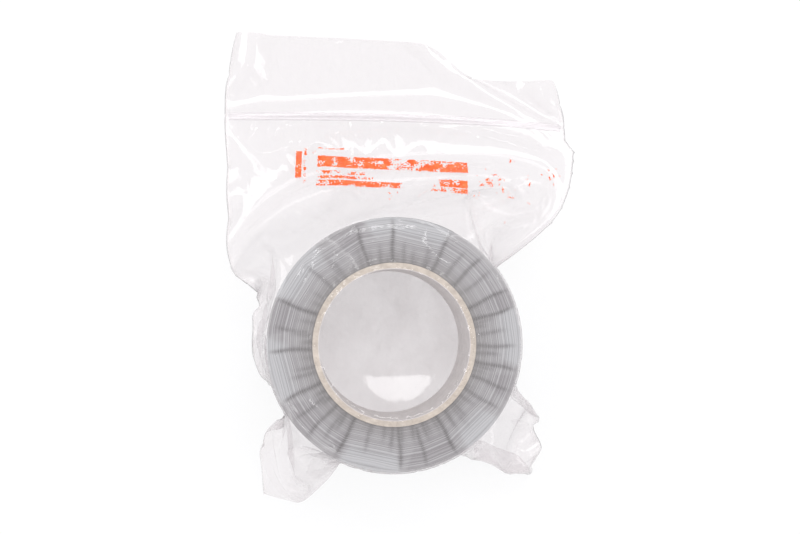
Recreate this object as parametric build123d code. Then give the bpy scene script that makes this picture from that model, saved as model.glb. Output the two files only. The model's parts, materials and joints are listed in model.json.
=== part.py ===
"""Roll of clear packing tape on a spiral-wound paper core, held in a grip-seal film bag.

The roll lies flat, so its axis is +Z, and the origin is on that axis in the plane that the
bag's underside rests on. The bag's header and its mouth run out along +Y, sloping down from
the roll's side to the table, and its two sealed bottom corners stick out as ears on the -Y
side. All lengths are millimetres.
"""

from build123d import *
from math import asin, cos, radians, sin
import os

# ---- driving dimensions -------------------------------------------------------------------
BORE_RADIUS = 38.1  # three-inch core
CORE_LENGTH = 50.0
PLIES = {  # name: radial thickness of each glued paper ply, from the bore outwards
    "core_liner": 0.4,
    "core_inner_ply": 0.9,
    "core_middle_ply": 0.9,
    "core_outer_ply": 0.6,
    "core_cover_ply": 0.4,
}
TAPE_WIDTH = 48.0
ROLL_RADIUS = 64.3
TAPE_THICKNESS = 0.1
TAPE_END_SPAN = 40.0  # degrees of the last turn that is drawn as a strip of its own
TAPE_END_ANGLE = 62.0

FILM = 0.15
ROLL_GAP = 0.3  # the air between the roll and the film, so that the roll can turn
DISH_DEPTH = 2.5  # how far the film sags into the bore
DISH_RADIUS = 37.5

NECK_GAP = 0.5  # between neighbouring film panels that are drawn as separate solids
HEADER_START = (80.0, 20.0)  # Y and Z of the fold line where the neck becomes the header
HEADER_SLOPE = 12.9  # degrees below level
HEADER_LEFT_X, HEADER_RIGHT_X = -85.5, 92.5
SHEET_GAP = 0.9  # between the header's front and back film, which the zip strips fill
FRONT_SHEET = FILM + SHEET_GAP  # height of the header's front film over its back film
MOUTH_HINGE = 25.5  # from the fold line to where the front wall bends when the mouth opens
ZIP_TILT = -2.1  # degrees, in the header's plane
ZIP_CENTRE = (3.0, 39.4)  # in the header's plane: X, and the distance from its fold line
ZIP_LENGTH = 179.0
ZIP_WIDTH = 4.0
ZIP_BASE = 0.2  # thickness of the flat back of each zip strip
ZIP_INSET = 1.0  # the strips stop this short of the header's side edges
RIB_DEPTH, RIB_HEAD_RADIUS, RIB_STEM = 0.45, 0.18, 0.2
GROOVE_WALL, GROOVE_HEIGHT, GROOVE_SLOT = 0.25, 0.5, 0.95
INK = 0.05

CORE_SHOULDER = 0.6  # the film bears on the core this far past its edge, then slopes down
SIDE_FOLD_WIDTH = 1.0
TAB_RADIUS, TAB_REACH, TAB_Y = 3.0, 3.6, -3.5  # the tucked tab of the right side fold
SEAL_WIDTH = 2.4

EAR_DROOP = 32.0  # degrees below level
EAR_HINGE_RADIUS = 66.2
EAR_SHEET_GAP = 4 * FILM  # from an ear's back film to its front film
EAR_ANGLES = {"left": -124.0, "right": -48.0}

# ---- outlines, X and Y as seen from above, and angles about the roll's axis --------------------
EARS = {
    "left": [(-57, -47), (-66, -54), (-68, -81), (-63, -83), (-49, -81), (-36, -73), (-30, -66)],
    "right": [(61, -27), (72, -26), (75, -37), (77, -55), (75, -67), (69, -72), (58, -71), (36, -64)],
}
LOBE = [(-62.5, -24), (-68, -10), (-73, 4), (-69.5, 15), (-64.5, 22)]
LOBE_ENDS = (212, 157)
RIGHT_FOLD_SPAN = (-24, 30)
BOTTOM_SEAL_SPAN = (-104, -75)
NECK_LEFT = [(-62, 29), (-79, 32), (-85, 45), (-86, 65)]  # the side folds beside the neck
NECK_RIGHT = [(62, 43), (80, 53), (89, 65), (92, 72)]
NECK_MIDDLE_X = (60, 0, -55)  # where the neck's outline follows the header's fold line
NECK_CORNER = (6, 4)  # how far its corners draw in, in X and in Y
NECK_RIM_START, NECK_RIM_SPAN = 40, 108

# ---- levels and radii worked out from them ----------------------------------------------------
TRIM_OVERLAP = 3.0  # how far a fold reaches in over the roll's film before it is trimmed to it
EAR_ROOT_RADIUS = 0.8 * ROLL_RADIUS
CORE_BOTTOM = FILM + ROLL_GAP
CORE_TOP = CORE_BOTTOM + CORE_LENGTH
TAPE_BOTTOM = CORE_BOTTOM + (CORE_LENGTH - TAPE_WIDTH) / 2
TAPE_TOP = TAPE_BOTTOM + TAPE_WIDTH
CORE_RADIUS = BORE_RADIUS + sum(PLIES.values())
MID_HEIGHT = (CORE_BOTTOM + CORE_TOP) / 2
BAND_INNER = ROLL_RADIUS + TAPE_THICKNESS + 1.2 * ROLL_GAP
BAND_OUTER = BAND_INNER + FILM
FACE_FILM_RIM = TAPE_TOP + ROLL_GAP
FACE_FILM_CORE = CORE_TOP + ROLL_GAP
FOLD_THICKNESS = 2 * FILM  # a fold or seal is two films thick
EVERYWHERE = 4 * CORE_LENGTH  # a length that reaches past the whole bag

HEADER = Plane(
    origin=(0, *HEADER_START),
    x_dir=(1, 0, 0),
    z_dir=(0, sin(radians(HEADER_SLOPE)), cos(radians(HEADER_SLOPE))),
)


# ---- helpers -----------------------------------------------------------------------------------
def tube(inner, outer, bottom, height):
    """A ring about Z."""
    profile = Pos(0, 0, bottom) * (Circle(outer) - Circle(inner))
    return extrude(profile, height)


def on_circle(radius, angle):
    """The point at that angle, in degrees, on a circle about Z."""
    return (radius * cos(radians(angle)), radius * sin(radians(angle)))


def sector(start, end):
    """A wedge in plan, from the axis out past everything."""
    corners = [on_circle(EVERYWHERE, angle) for angle in (start, (start + end) / 2, end)]
    return Polygon((0, 0), *corners, align=None)


def plate(outline, bottom, thickness):
    """A flat sheet cut to an outline in plan."""
    return extrude(Pos(0, 0, bottom) * make_face(outline), thickness)


def film_disc():
    """Everything within the roll's film band, in plan, as a tall cylinder."""
    return Pos(0, 0, MID_HEIGHT) * Cylinder(BAND_OUTER, EVERYWHERE)


# ---- the roll ------------------------------------------------------------------------------------
def core_plies():
    """The paper core's glued plies, one ring inside the next."""
    made = {}
    inner = BORE_RADIUS
    for name, thickness in PLIES.items():
        made[name] = tube(inner, inner + thickness, CORE_BOTTOM, CORE_LENGTH)
        inner += thickness
    return made


def tape_winding():
    """The wound tape, with its edges slightly inside the core's ends."""
    return tube(CORE_RADIUS, ROLL_RADIUS, TAPE_BOTTOM, TAPE_WIDTH)


def tape_end():
    """The last stretch of the last turn, up to its cut end."""
    ring = tube(ROLL_RADIUS, ROLL_RADIUS + TAPE_THICKNESS, TAPE_BOTTOM, TAPE_WIDTH)
    wedge = sector(TAPE_END_ANGLE, TAPE_END_ANGLE + TAPE_END_SPAN)
    return ring & extrude(wedge, EVERYWHERE)


# ---- the film round the roll -----------------------------------------------------------------------
def film_front_face():
    """Film over the roll's upper face: dished into the bore, and lower at the rim."""
    sphere = (DISH_RADIUS**2 + DISH_DEPTH**2) / (2 * DISH_DEPTH)
    half = asin(DISH_RADIUS / sphere) / 2
    bottom = FACE_FILM_CORE - DISH_DEPTH
    middle = (sphere * sin(half), bottom + sphere * (1 - cos(half)))
    ends = [
        (DISH_RADIUS, FACE_FILM_CORE),
        (CORE_RADIUS + CORE_SHOULDER, FACE_FILM_CORE),
        (BAND_OUTER, FACE_FILM_RIM),
    ]
    raised = [(r, z + FILM) for r, z in ends]
    lower = ThreePointArc((0, bottom), middle, ends[0]) + Polyline(*ends)
    upper = ThreePointArc((0, bottom + FILM), (middle[0], middle[1] + FILM), raised[0])
    upper += Polyline(*raised)
    sides = Line((0, bottom), (0, bottom + FILM)) + Line(ends[-1], raised[-1])
    profile = make_face(lower + upper + sides)
    return revolve(Plane.XZ * profile, Axis.Z)


def film_back_face():
    """Film under the roll, flat on the table."""
    return extrude(Circle(BAND_OUTER), FILM)


def film_side_band():
    """Film round the roll's side."""
    return tube(BAND_INNER, BAND_OUTER, FILM, FACE_FILM_RIM - FILM)


def side_fold_left():
    """A loose lobe of the bag's left side fold, standing off the roll."""
    start, end = (on_circle(BAND_OUTER - TRIM_OVERLAP, angle) for angle in LOBE_ENDS)
    lobe = Spline(start, *LOBE, end)
    return plate(lobe + Line(end, start), MID_HEIGHT, FOLD_THICKNESS) - film_disc()


def side_fold_right():
    """The right side fold, tight along the roll, with one small tucked tab."""
    fin = Circle(BAND_OUTER + SIDE_FOLD_WIDTH) - Circle(BAND_OUTER - SIDE_FOLD_WIDTH)
    fin &= sector(*RIGHT_FOLD_SPAN)
    tab = Location((BAND_OUTER + TAB_REACH, TAB_Y)) * Circle(TAB_RADIUS)
    neck = Location((BAND_OUTER, TAB_Y)) * Rectangle(2 * TAB_REACH, 1.6 * TAB_RADIUS)
    return extrude(Pos(0, 0, MID_HEIGHT) * (fin + tab + neck), FOLD_THICKNESS) - film_disc()


def bottom_seal():
    """The bag's heat-sealed bottom edge, where it runs round the roll between the ears."""
    fin = Circle(BAND_OUTER + SEAL_WIDTH) - Circle(BAND_OUTER - TRIM_OVERLAP)
    fin &= sector(*BOTTOM_SEAL_SPAN)
    return extrude(Pos(0, 0, MID_HEIGHT) * fin, FOLD_THICKNESS) - film_disc()


# ---- the ears ---------------------------------------------------------------------------------------
def beyond_hinge(angle, outside):
    """A tall block on one side of an ear's hinge line."""
    depth = 2 * ROLL_RADIUS
    offset = EAR_HINGE_RADIUS + (depth / 2 if outside else -depth / 2)
    block = Box(depth, 2 * depth, EVERYWHERE)
    return Pos(*on_circle(offset, angle), MID_HEIGHT) * Rot(0, 0, angle) * block


def ear_outline(side):
    """An ear in plan, reaching in over the roll so that it can be trimmed to the film."""
    inner = on_circle(EAR_ROOT_RADIUS, EAR_ANGLES[side])
    return Polyline(inner, *EARS[side], close=True)


def ear_sheet(side, rise):
    """One film of an ear, drooping from the roll's mid height to the table."""
    angle = EAR_ANGLES[side]
    prism = plate(ear_outline(side), -CORE_LENGTH, EVERYWHERE) & beyond_hinge(angle, True)
    slab = Pos(CORE_LENGTH, 0, 0) * Box(2 * CORE_LENGTH, EVERYWHERE, FILM)
    hinge = Pos(*on_circle(EAR_HINGE_RADIUS, angle), MID_HEIGHT + rise) * Rot(0, 0, angle)
    return prism & (hinge * Rot(0, EAR_DROOP, 0) * slab)


def corner_webs():
    """The two small webs that join the ears to the film round the roll."""
    webs = []
    for side, angle in EAR_ANGLES.items():
        flat = plate(ear_outline(side), MID_HEIGHT, FOLD_THICKNESS)
        webs += ((flat & beyond_hinge(angle, False)) - film_disc()).solids()
    return Compound(children=webs)


# ---- the neck, between the roll and the header -----------------------------------------------------
def neck_panel(rim_level, foot_level, header_level, thickness):
    """A film panel from the roll's rim out to the side folds and the header's fold line."""
    radius = BAND_OUTER + NECK_GAP
    rim = CenterArc((0, 0, rim_level), radius, NECK_RIM_START, NECK_RIM_SPAN)
    inset, setback = NECK_CORNER
    corner_y = HEADER_START[0] - setback
    right = [(x, y, foot_level) for x, y in NECK_RIGHT]
    right.append((HEADER_RIGHT_X - inset, corner_y, header_level))
    left = [(x, y, foot_level) for x, y in NECK_LEFT]
    left.append((HEADER_LEFT_X + inset, corner_y, header_level))
    middle = [(x, HEADER_START[0] - NECK_GAP, header_level) for x in NECK_MIDDLE_X]
    foot = Spline(*right, *middle, *reversed(left))
    surface = Face.make_surface_from_curves(rim.edge(), foot.edge())
    return Solid.thicken(surface, thickness)


def neck_front_film():
    """The slope of film from the roll's upper rim down to the header."""
    foot = MID_HEIGHT + 1
    return neck_panel(FACE_FILM_RIM, foot, HEADER_START[1] + FILM + SHEET_GAP, FILM)


def neck_back_film():
    """The film that rises from the table under the roll to the header."""
    return neck_panel(FILM, MID_HEIGHT - 1, HEADER_START[1], FILM)


# ---- the header, its zip and its mouth -------------------------------------------------------------
def across_zip(along, out):
    """A point of the header's plane: along the zip line from its centre, and out from it."""
    turn = radians(ZIP_TILT)
    x = ZIP_CENTRE[0] + along * cos(turn) - out * sin(turn)
    y = ZIP_CENTRE[1] + along * sin(turn) + out * cos(turn)
    return (x, y)


def header_plate(outline, bottom):
    """One film of the header, cut to an outline in the header's plane."""
    return HEADER * plate(outline, bottom, FILM)


def header_wall(bottom):
    """One wall of the header, from its fold line to the zip's outer edge."""
    right = [(HEADER_RIGHT_X, 0), (97.5, 13), (98.5, 24), (98, 29), (93, 34)]
    end = ZIP_LENGTH / 2
    ends = [across_zip(end, ZIP_WIDTH / 2), across_zip(-end, ZIP_WIDTH / 2)]
    return header_plate(Polyline(*right, *ends, (HEADER_LEFT_X, 0), close=True), bottom)


def front_wall(beyond_hinge_line):
    """The header's front wall on one side of the line where it bends when the mouth opens."""
    depth = EVERYWHERE / 2
    centre = MOUTH_HINGE + (depth / 2 if beyond_hinge_line else -depth / 2)
    side = HEADER * Pos(0, centre, 0) * Box(2 * EVERYWHERE, depth, EVERYWHERE)
    return header_wall(FRONT_SHEET) & side


def lip(bottom):
    """One lip of the mouth, past the zip. Its right half stands nearer to the zip."""
    end = ZIP_LENGTH / 2
    ends = [across_zip(end, ZIP_WIDTH / 2), across_zip(-end, ZIP_WIDTH / 2)]
    dip = Spline((9, 86.3), (21, 84), (32, 77.5), (38, 69), (43.5, 64.3))
    outline = Polyline(ends[1], (-85.3, 58), (-82, 89.8), (9, 86.3)) + dip
    outline += Polyline((43.5, 64.3), (89.4, 64.3), ends[0], ends[1])
    return header_plate(outline, bottom)


def zip_strip(profile, bottom):
    """One half of the grip seal: a profile across the strip, drawn out along the zip."""
    turn = radians(ZIP_TILT)
    start = across_zip(ZIP_INSET - ZIP_LENGTH / 2, 0)
    across, along = (-sin(turn), cos(turn), 0), (cos(turn), sin(turn), 0)
    plane = Plane(origin=(*start, bottom), x_dir=across, z_dir=along)
    return HEADER * extrude(plane * profile, ZIP_LENGTH - 2 * ZIP_INSET)


def zip_groove_strip():
    """The channel half of the grip seal, on the back film: two ribs with a slot between."""
    profile = Location((0, ZIP_BASE / 2)) * Rectangle(ZIP_WIDTH, ZIP_BASE)
    for side in (-1, 1):
        centre = (side * (GROOVE_SLOT + GROOVE_WALL) / 2, GROOVE_HEIGHT / 2)
        profile += Location(centre) * Rectangle(GROOVE_WALL, GROOVE_HEIGHT)
    return zip_strip(profile, FILM)


def zip_rib_strip():
    """The rib half of the grip seal, under the front film: a stem with a round head."""
    profile = Location((0, -ZIP_BASE / 2)) * Rectangle(ZIP_WIDTH, ZIP_BASE)
    profile += Location((0, -RIB_DEPTH / 2)) * Rectangle(RIB_STEM, RIB_DEPTH)
    profile += Location((0, -RIB_DEPTH)) * Circle(RIB_HEAD_RADIUS)
    return zip_strip(profile, FRONT_SHEET)


PRINT_BLOCKS = {  # along and out from the zip's centre, then length and width
    "bar": (-1.5, -23.6, 80, 6.4),
    "line_above": (-33, -16.6, 13, 1.0),
    "line_one": (-22.5, -30.0, 26, 1.6),
    "line_two": (-20.5, -33.0, 30, 1.6),
    "line_three": (-13, -36.4, 44, 2.8),
    "side_block": (-51.5, -25.9, 3.2, 15),
    "side_line": (-47.5, -26.4, 1.2, 18),
    "corner_block": (33, -35.0, 15, 3.0),
}


def print_ink():
    """The header's print: plain blocks on the front film."""
    top = FRONT_SHEET + FILM
    blocks = []
    for along, out, length, width in PRINT_BLOCKS.values():
        place = Pos(*across_zip(along, out), top + INK / 2) * Rot(0, 0, ZIP_TILT)
        blocks.append(HEADER * place * Box(length, width, INK))
    return Compound(children=blocks)


# ---- everything, by node name ----------------------------------------------------------------------
def all_nodes():
    nodes = dict(core_plies())
    nodes["tape_winding"] = tape_winding()
    nodes["tape_end"] = tape_end()
    nodes["film_front_face"] = film_front_face()
    nodes["film_back_face"] = film_back_face()
    nodes["film_side_band"] = film_side_band()
    nodes["side_fold_left"] = side_fold_left()
    nodes["side_fold_right"] = side_fold_right()
    nodes["bottom_seal"] = bottom_seal()
    nodes["corner_webs"] = corner_webs()
    for side in EAR_ANGLES:
        nodes[f"ear_{side}_back_film"] = ear_sheet(side, 0)
        nodes[f"ear_{side}_front_film"] = ear_sheet(side, EAR_SHEET_GAP)
    nodes["neck_front_film"] = neck_front_film()
    nodes["neck_back_film"] = neck_back_film()
    nodes["header_back_film"] = header_wall(0)
    nodes["header_front_film"] = front_wall(False)
    nodes["mouth_front_film"] = front_wall(True)
    nodes["lip_back_film"] = lip(0)
    nodes["lip_front_film"] = lip(FRONT_SHEET)
    nodes["zip_groove_strip"] = zip_groove_strip()
    nodes["zip_rib_strip"] = zip_rib_strip()
    nodes["print_ink"] = print_ink()
    return nodes


os.makedirs("parts", exist_ok=True)
for node_name, shape in all_nodes().items():
    export_step(shape, f"parts/{node_name}.step")
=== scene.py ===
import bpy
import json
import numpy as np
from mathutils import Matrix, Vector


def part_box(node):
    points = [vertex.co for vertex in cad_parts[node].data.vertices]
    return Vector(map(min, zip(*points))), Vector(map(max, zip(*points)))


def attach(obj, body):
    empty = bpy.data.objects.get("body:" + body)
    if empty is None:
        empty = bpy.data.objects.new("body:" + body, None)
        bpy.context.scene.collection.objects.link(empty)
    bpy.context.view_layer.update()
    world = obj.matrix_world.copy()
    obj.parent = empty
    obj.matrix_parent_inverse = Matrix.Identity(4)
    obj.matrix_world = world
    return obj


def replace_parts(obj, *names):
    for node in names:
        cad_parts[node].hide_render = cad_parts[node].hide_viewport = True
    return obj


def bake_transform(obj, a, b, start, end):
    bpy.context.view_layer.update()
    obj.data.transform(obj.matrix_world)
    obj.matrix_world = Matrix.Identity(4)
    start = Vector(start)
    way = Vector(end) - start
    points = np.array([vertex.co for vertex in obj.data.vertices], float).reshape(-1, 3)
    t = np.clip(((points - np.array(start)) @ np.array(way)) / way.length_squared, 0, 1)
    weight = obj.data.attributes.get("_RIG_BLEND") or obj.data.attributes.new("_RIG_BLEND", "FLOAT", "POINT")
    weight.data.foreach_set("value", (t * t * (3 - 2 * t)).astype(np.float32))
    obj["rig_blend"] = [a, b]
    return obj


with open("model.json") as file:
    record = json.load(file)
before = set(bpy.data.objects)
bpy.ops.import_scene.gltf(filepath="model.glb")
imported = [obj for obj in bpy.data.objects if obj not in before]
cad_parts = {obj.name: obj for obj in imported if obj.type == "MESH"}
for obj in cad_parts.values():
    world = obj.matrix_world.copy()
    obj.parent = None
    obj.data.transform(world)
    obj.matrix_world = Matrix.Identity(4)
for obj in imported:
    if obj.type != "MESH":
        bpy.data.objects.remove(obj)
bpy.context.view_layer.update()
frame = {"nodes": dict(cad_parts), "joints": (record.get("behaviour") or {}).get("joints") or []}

import json
import math

import bpy
import numpy as np
from mathutils import Matrix, Vector, noise
from mathutils.bvhtree import BVHTree

"""A roll of grey packing tape on a paper core, in a clear grip-seal film bag.

The bag is one film tube. simulate_bag() lets it come to rest round the roll, and its grid of
points is then cut along its rows and columns into the pieces that ride on the bag, the header,
the mouth's flap and the two ears. Shapes are worked out in millimetres and built in metres.
"""

MM = 0.001


def box_mm(node):
    """A CAD node's lowest and highest corners, in millimetres."""
    low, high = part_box(node)
    return np.array(low) / MM, np.array(high) / MM


# ---- places taken from the frame, in millimetres ------------------------------------------------------
BAND_LOW, BAND_HIGH = box_mm("film_side_band")
CORE_TOP = box_mm("core_cover_ply")[1]
TAPE_LOW, TAPE_TOP = box_mm("tape_winding")
LINER_RADIUS = box_mm("core_liner")[1][0]
# The space that the film stays out of, a little larger than the roll.
ROLL_OUT = BAND_HIGH[0] + 0.2
ROLL_LOW, ROLL_HIGH = BAND_LOW[2] + 0.35, BAND_HIGH[2] + 0.35
CORE_OUT, CORE_HIGH = CORE_TOP[0] + 0.3, CORE_TOP[2] + 0.45
BORE = LINER_RADIUS - 0.9
TURN_LEVEL = box_mm("tape_end")[1][2] + 0.12  # the roll turns freely below film at this level
JOINTS = {joint["name"]: joint for joint in frame["joints"]}

# ---- the bag as it was cut, in millimetres ----------------------------------------------------------
BAG_WIDTH, BAG_LENGTH = 184.5, 277.5
ZIP_AT = 231.0  # from the bottom seal to the zip
LIP_FULL_FROM = ZIP_AT + 6  # the mouth's uneven cut is taken up past this row
LIP_SLANT, LIP_STEP = 2.5, 17.5  # the mouth is cut slightly askew, and lower right of the middle
STEP_AT, STEP_WIDTH = 29.0, 4.5
ZIP_HALF = 2.6  # the zip's strips stiffen the film within this of ZIP_AT
ZIP_GAP = 0.9  # between the two films where the zip's strips are
FILM_GAP = 0.4  # between the two films elsewhere
FACING_WITHIN = 6.0  # films further apart than this can't have crossed
DIAGONAL_STIFFNESS = 0.6  # of the springs across the grid's cells, where those along them have 1

# ---- what the film lies on ------------------------------------------------------------------------
ROLL_EDGE_RADIUS = 1.2  # the film rounds the roll's rims in a small curve
FLOOR_LEVEL = 0.12  # the lowest that the film lies over the table
DISH_DEPTH = 2.2  # how far the film sags into the core's bore
ROLL_CENTRE_AT = 90.0  # from the bottom seal to the roll's axis, along the flat bag
BAG_TILT = math.radians(-2.1)  # the bag is turned this much on the table
BAG_SHIFT = -3.0  # and its lower part starts this far to the left
BLOWN_RADIUS, BLOWN_HEIGHT = 74.0, 26.0  # the bag starts blown up this much round the roll
START_LEVEL, START_DROP = 24.0, 22.0  # its middle starts at this level, and ends this much lower

# Where the bag's edges lie: how far up the bag, and then X, Y and Z.
LEFT_CREASE = [
    (277.5, -82.1, 167.4, 0.4), (254, -84.5, 144, 3), (231, -86.3, 121.9, 8), (202, -86.6, 93, 14),
    (173, -86, 65, 19), (153, -84.8, 44.4, 22), (147, -83.8, 38.5, 22), (141, -81.5, 33, 23),
    (134, -75, 31, 23), (126, -66, 28, 24), (97, -73, 4, 24), (68, -61.5, -27, 24),
    (46, -58, -47, 22), (28, -66, -56, 15), (0, -68, -84.5, 2),
]
RIGHT_CREASE = [
    (258, 89.7, 142.9, 3), (244, 91, 130, 6), (231, 92.2, 118, 9), (222, 100.5, 107.5, 12),
    (217, 101.5, 103.5, 13), (212, 100.5, 98, 14), (206, 99, 92, 15), (198, 95.5, 84, 16),
    (187, 91.5, 72, 19), (179, 88, 64, 21), (150, 61, 43, 24), (107, 66.4, 2, 24),
    (70, 66, -24, 23), (60, 72, -26, 22), (40, 76, -44, 14), (0, 75, -70, 2),
]
# Where the mouth and the zip lie: how far across the bag from its middle, and then X, Y and Z.
MOUTH = [
    (-58, -56, 165.6, 1), (-36, -34.5, 164.9, 1.5), (6, 8.7, 163.6, 2), (18, 20.8, 161.1, 2),
    (28.5, 31.6, 155.1, 2), (35, 38.4, 147.6, 2), (41, 43.8, 142.9, 2), (63, 65.4, 142.3, 2),
]
ZIP_LINE = [(0, 3, 122.6, 9.5), (-45, -42, 122.9, 8.5), (45, 47.5, 120.8, 10)]
SEAL_ANGLES = (-112, -101, -90, -79, -68)  # where the bottom seal lies close round the roll
SEAL_LEVEL = 22.5
SEAL_OFFSET = 3.5  # the seal's middle lies this far to the left
CLOSE_SECTORS = ((-112, -62), (-14, 34), (198, 212))  # the film lies close round the roll here


def flat_grid(across, along):
    """Where each point of the film tube was before it was filled: across from the middle, and up
    from the bottom seal. A row goes over the front from the left crease, and back underneath."""
    column = np.arange(2 * across)
    step = BAG_WIDTH / across
    u = np.where(column <= across, column * step - BAG_WIDTH / 2, BAG_WIDTH * 1.5 - column * step)
    top = BAG_LENGTH - LIP_SLANT * np.clip((u + BAG_WIDTH / 2) / 100, 0, 1)
    top -= LIP_STEP / (1 + np.exp((STEP_AT - u) / STEP_WIDTH))
    v = np.arange(along + 1)[:, None] / along * BAG_LENGTH
    past = (v - LIP_FULL_FROM) / (BAG_LENGTH - LIP_FULL_FROM)
    v = np.where(v <= LIP_FULL_FROM, v, LIP_FULL_FROM + past * (top - LIP_FULL_FROM))
    return np.broadcast_to(u, v.shape), v


def lengths(vectors):
    return np.sqrt((vectors**2).sum(-1)) + 1e-9


class FilmTube:
    """The bag's film as a grid of points on springs that hardly stretch, which is moved until it
    lies round the roll. bend and far_bend are its stiffness over two and four cells."""

    def __init__(self, across, along, points=None, bend=0.15, far_bend=0.0):
        self.n, self.m = across, along
        self.u, self.v = flat_grid(across, along)
        self.columns = 2 * across
        self.mirror = -np.arange(self.columns) % self.columns
        self.p = self.puffed_up() if points is None else points
        self.before = self.p.copy()
        self.springs = []
        for span, stiffness in ((1, 1.0), (2, bend), (4, far_bend)):
            if stiffness:
                self.springs += self.row_springs(span, stiffness)
                self.springs += self.column_springs(span, stiffness)
        self.springs += self.diagonal_springs()
        self.targets = self.edge_targets()
        self.zip_rows = np.where(np.abs(self.v[:, 0] - ZIP_AT) < ZIP_HALF)[0]

    def puffed_up(self):
        """The bag's shape to start from: flat, but blown up round the roll, and a little uneven."""
        x, y = self.u * 0.95, self.v - ROLL_CENTRE_AT
        blown = 1 / (1 + np.exp((np.hypot(x, y) - BLOWN_RADIUS) / 3.0))
        blown = blown * np.clip((BAG_WIDTH / 2 - np.abs(self.u)) / 12, 0, 1)
        front = np.where(np.arange(self.columns) <= self.n, 1, -1)
        z = START_LEVEL - START_DROP * np.clip((y - 70) / 95, 0, 1)
        z = z + front * (0.5 + BLOWN_HEIGHT * blown)
        c, s = math.cos(BAG_TILT), math.sin(BAG_TILT)
        points = np.stack([BAG_SHIFT * (y < 70) + x * c - y * s, x * s + y * c, z], -1)
        return points + np.random.default_rng(3).normal(0, 0.12, points.shape)

    def row_springs(self, span, stiffness):
        """Springs along the rows. None but the shortest crosses a side crease, which bends freely."""
        rest = np.hypot(span * BAG_WIDTH / self.n, np.roll(self.v, -span, 1) - self.v)
        made = []
        for offset in range(span):
            for half in (0, 1):
                a = np.arange(offset + half * span, self.columns, 2 * span)
                a = a[a + span <= self.columns + offset] if self.columns % (2 * span) else a
                over_crease = ((a < self.n) & (a + span > self.n)) | (a + span > self.columns)
                each = np.where(over_crease, 0.0, stiffness)[None, :]
                every = slice(None)
                made.append(((every, a), (every, (a + span) % self.columns), rest[:, a], each))
        return made

    def column_springs(self, span, stiffness):
        rest = self.v[span:] - self.v[:-span]
        starts = [o + half * span for o in range(span) for half in (0, 1)]
        runs = [np.arange(start, self.m + 1 - span, 2 * span) for start in starts]
        return [((a,), (a + span,), rest[a], stiffness) for a in runs]

    def diagonal_springs(self):
        made = []
        for slant in (1, -1):
            rise = np.roll(self.v, -slant, 1)[1:] - self.v[:-1]
            rest = np.hypot(BAG_WIDTH / self.n, rise)
            for start in (0, 1):
                a = np.arange(start, self.m, 2)
                beside = (np.arange(self.columns) + slant) % self.columns
                made.append(((a,), np.ix_(a + 1, beside), rest[a], DIAGONAL_STIFFNESS))
        return made

    def edge_targets(self):
        """The points that are drawn towards a known place: row, column and place."""

        def column_at(u):
            return int(round((u + BAG_WIDTH / 2) / BAG_WIDTH * self.n))

        made = []
        for degrees in SEAL_ANGLES:
            turn = math.radians(degrees)
            place = ((ROLL_OUT + 0.6) * math.cos(turn), (ROLL_OUT + 0.6) * math.sin(turn), SEAL_LEVEL)
            made.append((0, column_at(math.radians(degrees + 90) * 66 - SEAL_OFFSET), np.array(place)))
        zip_row = int(np.argmin(np.abs(self.v[:, 0] - ZIP_AT)))
        for u, *place in ZIP_LINE:
            column = column_at(u)
            made.append((zip_row, column, np.array(place)))
            made.append((zip_row, self.mirror[column], np.array(place) - (0, 0, ZIP_GAP)))
        for u, *place in MOUTH:
            column = column_at(u)
            made.append((self.m, column, np.array(place) + (0, 0, 0.5)))
            made.append((self.m, self.mirror[column], np.array(place)))
        for column, crease in ((0, LEFT_CREASE), (self.n, RIGHT_CREASE)):
            for v, *place in crease:
                row = int(np.argmin(np.abs(self.v[:, column] - v)))
                made.append((row, column, np.array(place)))
        return made

    def pull_springs(self):
        """One pass of bringing each spring nearer to its length."""
        p = self.p
        for one, two, rest, stiffness in self.springs:
            gap = p[two] - p[one]
            length = lengths(gap)
            move = (stiffness * 0.5 * (length - rest) / length)[..., None] * gap
            p[one] += move
            p[two] -= move
        p[0] = (p[0] + p[0][self.mirror]) / 2  # the bottom seal joins front and back

    def keep_apart(self):
        """Keeps the front film above the back film, and the zip's strips their own height apart."""
        p, front = self.p, np.arange(1, self.n)
        back = self.mirror[front]
        middle = (p[:, front] + p[:, back]) / 2
        normal = np.cross(np.gradient(middle, axis=1), np.gradient(middle, axis=0))
        normal /= lengths(normal)[..., None]
        between = p[:, front] - p[:, back]
        distance = (between * normal).sum(-1)
        crossed = (lengths(between) < FACING_WITHIN) & (distance < FILM_GAP)
        move = np.where(crossed, (FILM_GAP - distance) / 2, 0)[..., None] * normal
        move[0] = 0
        p[:, front] += move
        p[:, back] -= move
        for row in self.zip_rows:
            between = p[row, front] - p[row, back]
            length = lengths(between)[:, None]
            move = between * (length - ZIP_GAP) / length / 2
            p[row, front] -= move
            p[row, back] += move

    def cling(self, strength):
        """The film lies close round the roll's side, apart from the ears, the lobe and the neck."""
        p = self.p
        r = np.hypot(p[..., 0], p[..., 1]) + 1e-9
        angle = np.degrees(np.arctan2(p[..., 1], p[..., 0]))
        close = 0.0
        for start, end in CLOSE_SECTORS:
            middle = (start + end) / 2
            outside = np.abs((angle - middle + 180) % 360 - 180) - (end - start) / 2
            close = np.maximum(close, np.clip(0.5 - outside / 5, 0, 1))
        near = close * (r > ROLL_OUT - 1) * (r < 76)
        move = strength * near * np.clip(r - ROLL_OUT - 0.3, 0, 6) / r
        p[..., 0] -= move * p[..., 0]
        p[..., 1] -= move * p[..., 1]

    def straighten_zip(self):
        """The zip's strips are stiff, so each of their rows stays a smooth curve."""
        for row in self.zip_rows:
            for side in (slice(1, self.n), slice(self.n + 1, self.columns)):
                line = self.p[row, side]
                along = np.linspace(-1, 1, len(line))
                fit = np.polynomial.polynomial.polyfit(along, line, 3)
                smooth = np.polynomial.polynomial.polyval(along, fit).T
                self.p[row, side] += 0.5 * (smooth - line)

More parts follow.
